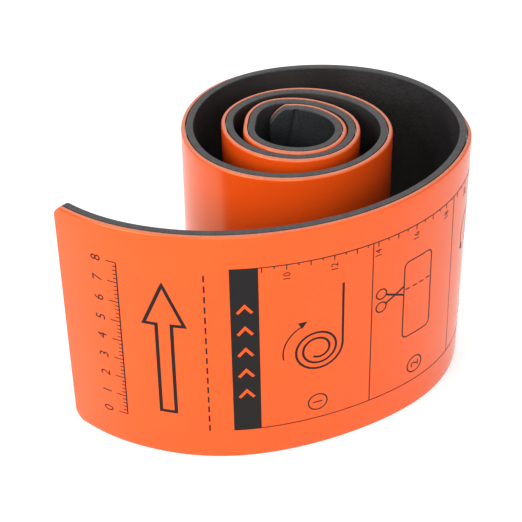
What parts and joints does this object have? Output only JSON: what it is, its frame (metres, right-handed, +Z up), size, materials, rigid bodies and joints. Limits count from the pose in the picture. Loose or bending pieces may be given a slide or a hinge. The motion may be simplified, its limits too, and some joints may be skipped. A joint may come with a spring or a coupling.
{
  "type": "rolled foam splint with an aluminium core",
  "caption": "Soft mouldable splint strip of orange and grey foam bonded to a thin metal core, loosely rolled up and standing on its long edge with one end left free.",
  "frame": {"origin": "on the ground, in the middle of the roll and its tail together", "axes": "+Z up along the strip's width, +X across the roll to the right as the free end sweeps out at the front left, +Y towards the back of the roll"},
  "size_m": [0.1762, 0.1412, 0.1143],
  "materials": {
    "grey_foam": "matt closed-cell foam skin, lighter on the cut edge",
    "soft_aluminium": "mill finish, seen only as a hairline in the cut edge",
    "orange_foam": "smooth closed-cell foam skin with a soft sheen, printed in dark ink"
  },
  "bodies": {
    "root": {"grey_foam_face": "grey_foam", "aluminium_core": "soft_aluminium", "orange_foam_face": "orange_foam"}
  },
  "joints": []
}
